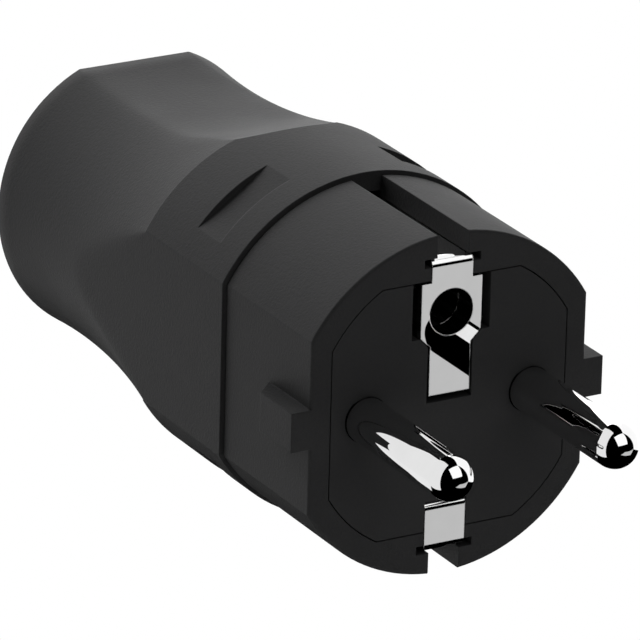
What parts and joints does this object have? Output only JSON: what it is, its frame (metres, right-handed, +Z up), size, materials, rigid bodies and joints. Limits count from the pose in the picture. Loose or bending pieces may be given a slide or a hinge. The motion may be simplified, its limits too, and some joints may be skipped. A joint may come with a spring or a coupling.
{
  "type": "rewireable schuko plug",
  "caption": "Rewireable round-pin mains plug with earth contacts, a hollow latched rear cover, screw terminals and a cord clamp.",
  "frame": {"origin": "centre of the front face, on the plug's axis", "axes": "+Z up, -Y the way the pins point, +X to the right seen from the pins"},
  "size_m": [0.0362, 0.088, 0.0378],
  "materials": {
    "body_plastic": "fine spark-eroded texture, matt black",
    "cover_plastic": "fine spark-eroded texture, matt black",
    "insert_plastic": "matt black",
    "inner_plastic": "satin dark grey",
    "grommet_rubber": "matt",
    "earth_metal": "bright nickel plate",
    "pin_metal": "bright nickel plate",
    "socket_metal": "bright nickel plate",
    "zinc_steel": "zinc plated"
  },
  "bodies": {
    "front_body": {"front_shell": "body_plastic", "contact_carrier": "insert_plastic", "pin_retainer": "inner_plastic", "line_pin": "pin_metal", "neutral_pin": "pin_metal", "earth_bracket": "earth_metal", "earth_socket": "socket_metal", "clamp_nut_left": "zinc_steel", "clamp_nut_right": "zinc_steel", "retainer_screw_left": "zinc_steel", "retainer_screw_right": "zinc_steel"},
    "cover": {"rear_cover": "cover_plastic", "entry_grommet": "grommet_rubber"},
    "line_clamp": {"line_washer": "zinc_steel"},
    "line_turn": {"line_screw": "zinc_steel"},
    "neutral_clamp": {"neutral_washer": "zinc_steel"},
    "neutral_turn": {"neutral_screw": "zinc_steel"},
    "earth_clamp": {"earth_washer": "zinc_steel"},
    "earth_turn": {"earth_screw": "zinc_steel"},
    "cord_clamp": {"cord_clamp_bar": "inner_plastic"},
    "cord_turn_left": {"clamp_screw_left": "zinc_steel"},
    "cord_turn_right": {"clamp_screw_right": "zinc_steel"}
  },
  "joints": [
    {"name": "cover_slide", "type": "slide", "parent": "front_body", "child": "cover", "axis": [0, 1, 0], "range_m": [0, 0.06]},
    {"name": "line_washer_slide", "type": "slide", "parent": "front_body", "child": "line_clamp", "axis": [0, 1, 0], "range_m": [0, 0.002]},
    {"name": "line_screw_turn", "type": "hinge", "parent": "line_clamp", "child": "line_turn", "pos_m": [-0.0095, 0.0155, 0], "axis": [0, 1, 0], "range_deg": [0, 1200]},
    {"name": "neutral_washer_slide", "type": "slide", "parent": "front_body", "child": "neutral_clamp", "axis": [0, 1, 0], "range_m": [0, 0.002]},
    {"name": "neutral_screw_turn", "type": "hinge", "parent": "neutral_clamp", "child": "neutral_turn", "pos_m": [0.0095, 0.0155, 0], "axis": [0, 1, 0], "range_deg": [0, 1200]},
    {"name": "earth_washer_slide", "type": "slide", "parent": "front_body", "child": "earth_clamp", "axis": [0, 1, 0], "range_m": [0, 0.002]},
    {"name": "earth_screw_turn", "type": "hinge", "parent": "earth_clamp", "child": "earth_turn", "pos_m": [0, 0.0261, -0.002], "axis": [0, 1, 0], "range_deg": [0, 1200]},
    {"name": "cord_bar_slide", "type": "slide", "parent": "front_body", "child": "cord_clamp", "axis": [0, 0, 1], "range_m": [0, 0.0035]},
    {"name": "cord_screw_left_turn", "type": "hinge", "parent": "cord_clamp", "child": "cord_turn_left", "pos_m": [-0.0072, 0.039, 0.0032], "axis": [0, 0, 1], "range_deg": [0, 2100]},
    {"name": "cord_screw_right_turn", "type": "hinge", "parent": "cord_clamp", "child": "cord_turn_right", "pos_m": [0.0072, 0.039, 0.0032], "axis": [0, 0, 1], "range_deg": [0, 2100]}
  ],
  "couplings": [
    {"joint": "line_screw_turn", "follows": "line_washer_slide", "rad_per_m": 10472},
    {"joint": "neutral_screw_turn", "follows": "neutral_washer_slide", "rad_per_m": 10472},
    {"joint": "earth_screw_turn", "follows": "earth_washer_slide", "rad_per_m": 10472},
    {"joint": "cord_screw_left_turn", "follows": "cord_bar_slide", "rad_per_m": 10472},
    {"joint": "cord_screw_right_turn", "follows": "cord_bar_slide", "rad_per_m": 10472}
  ]
}
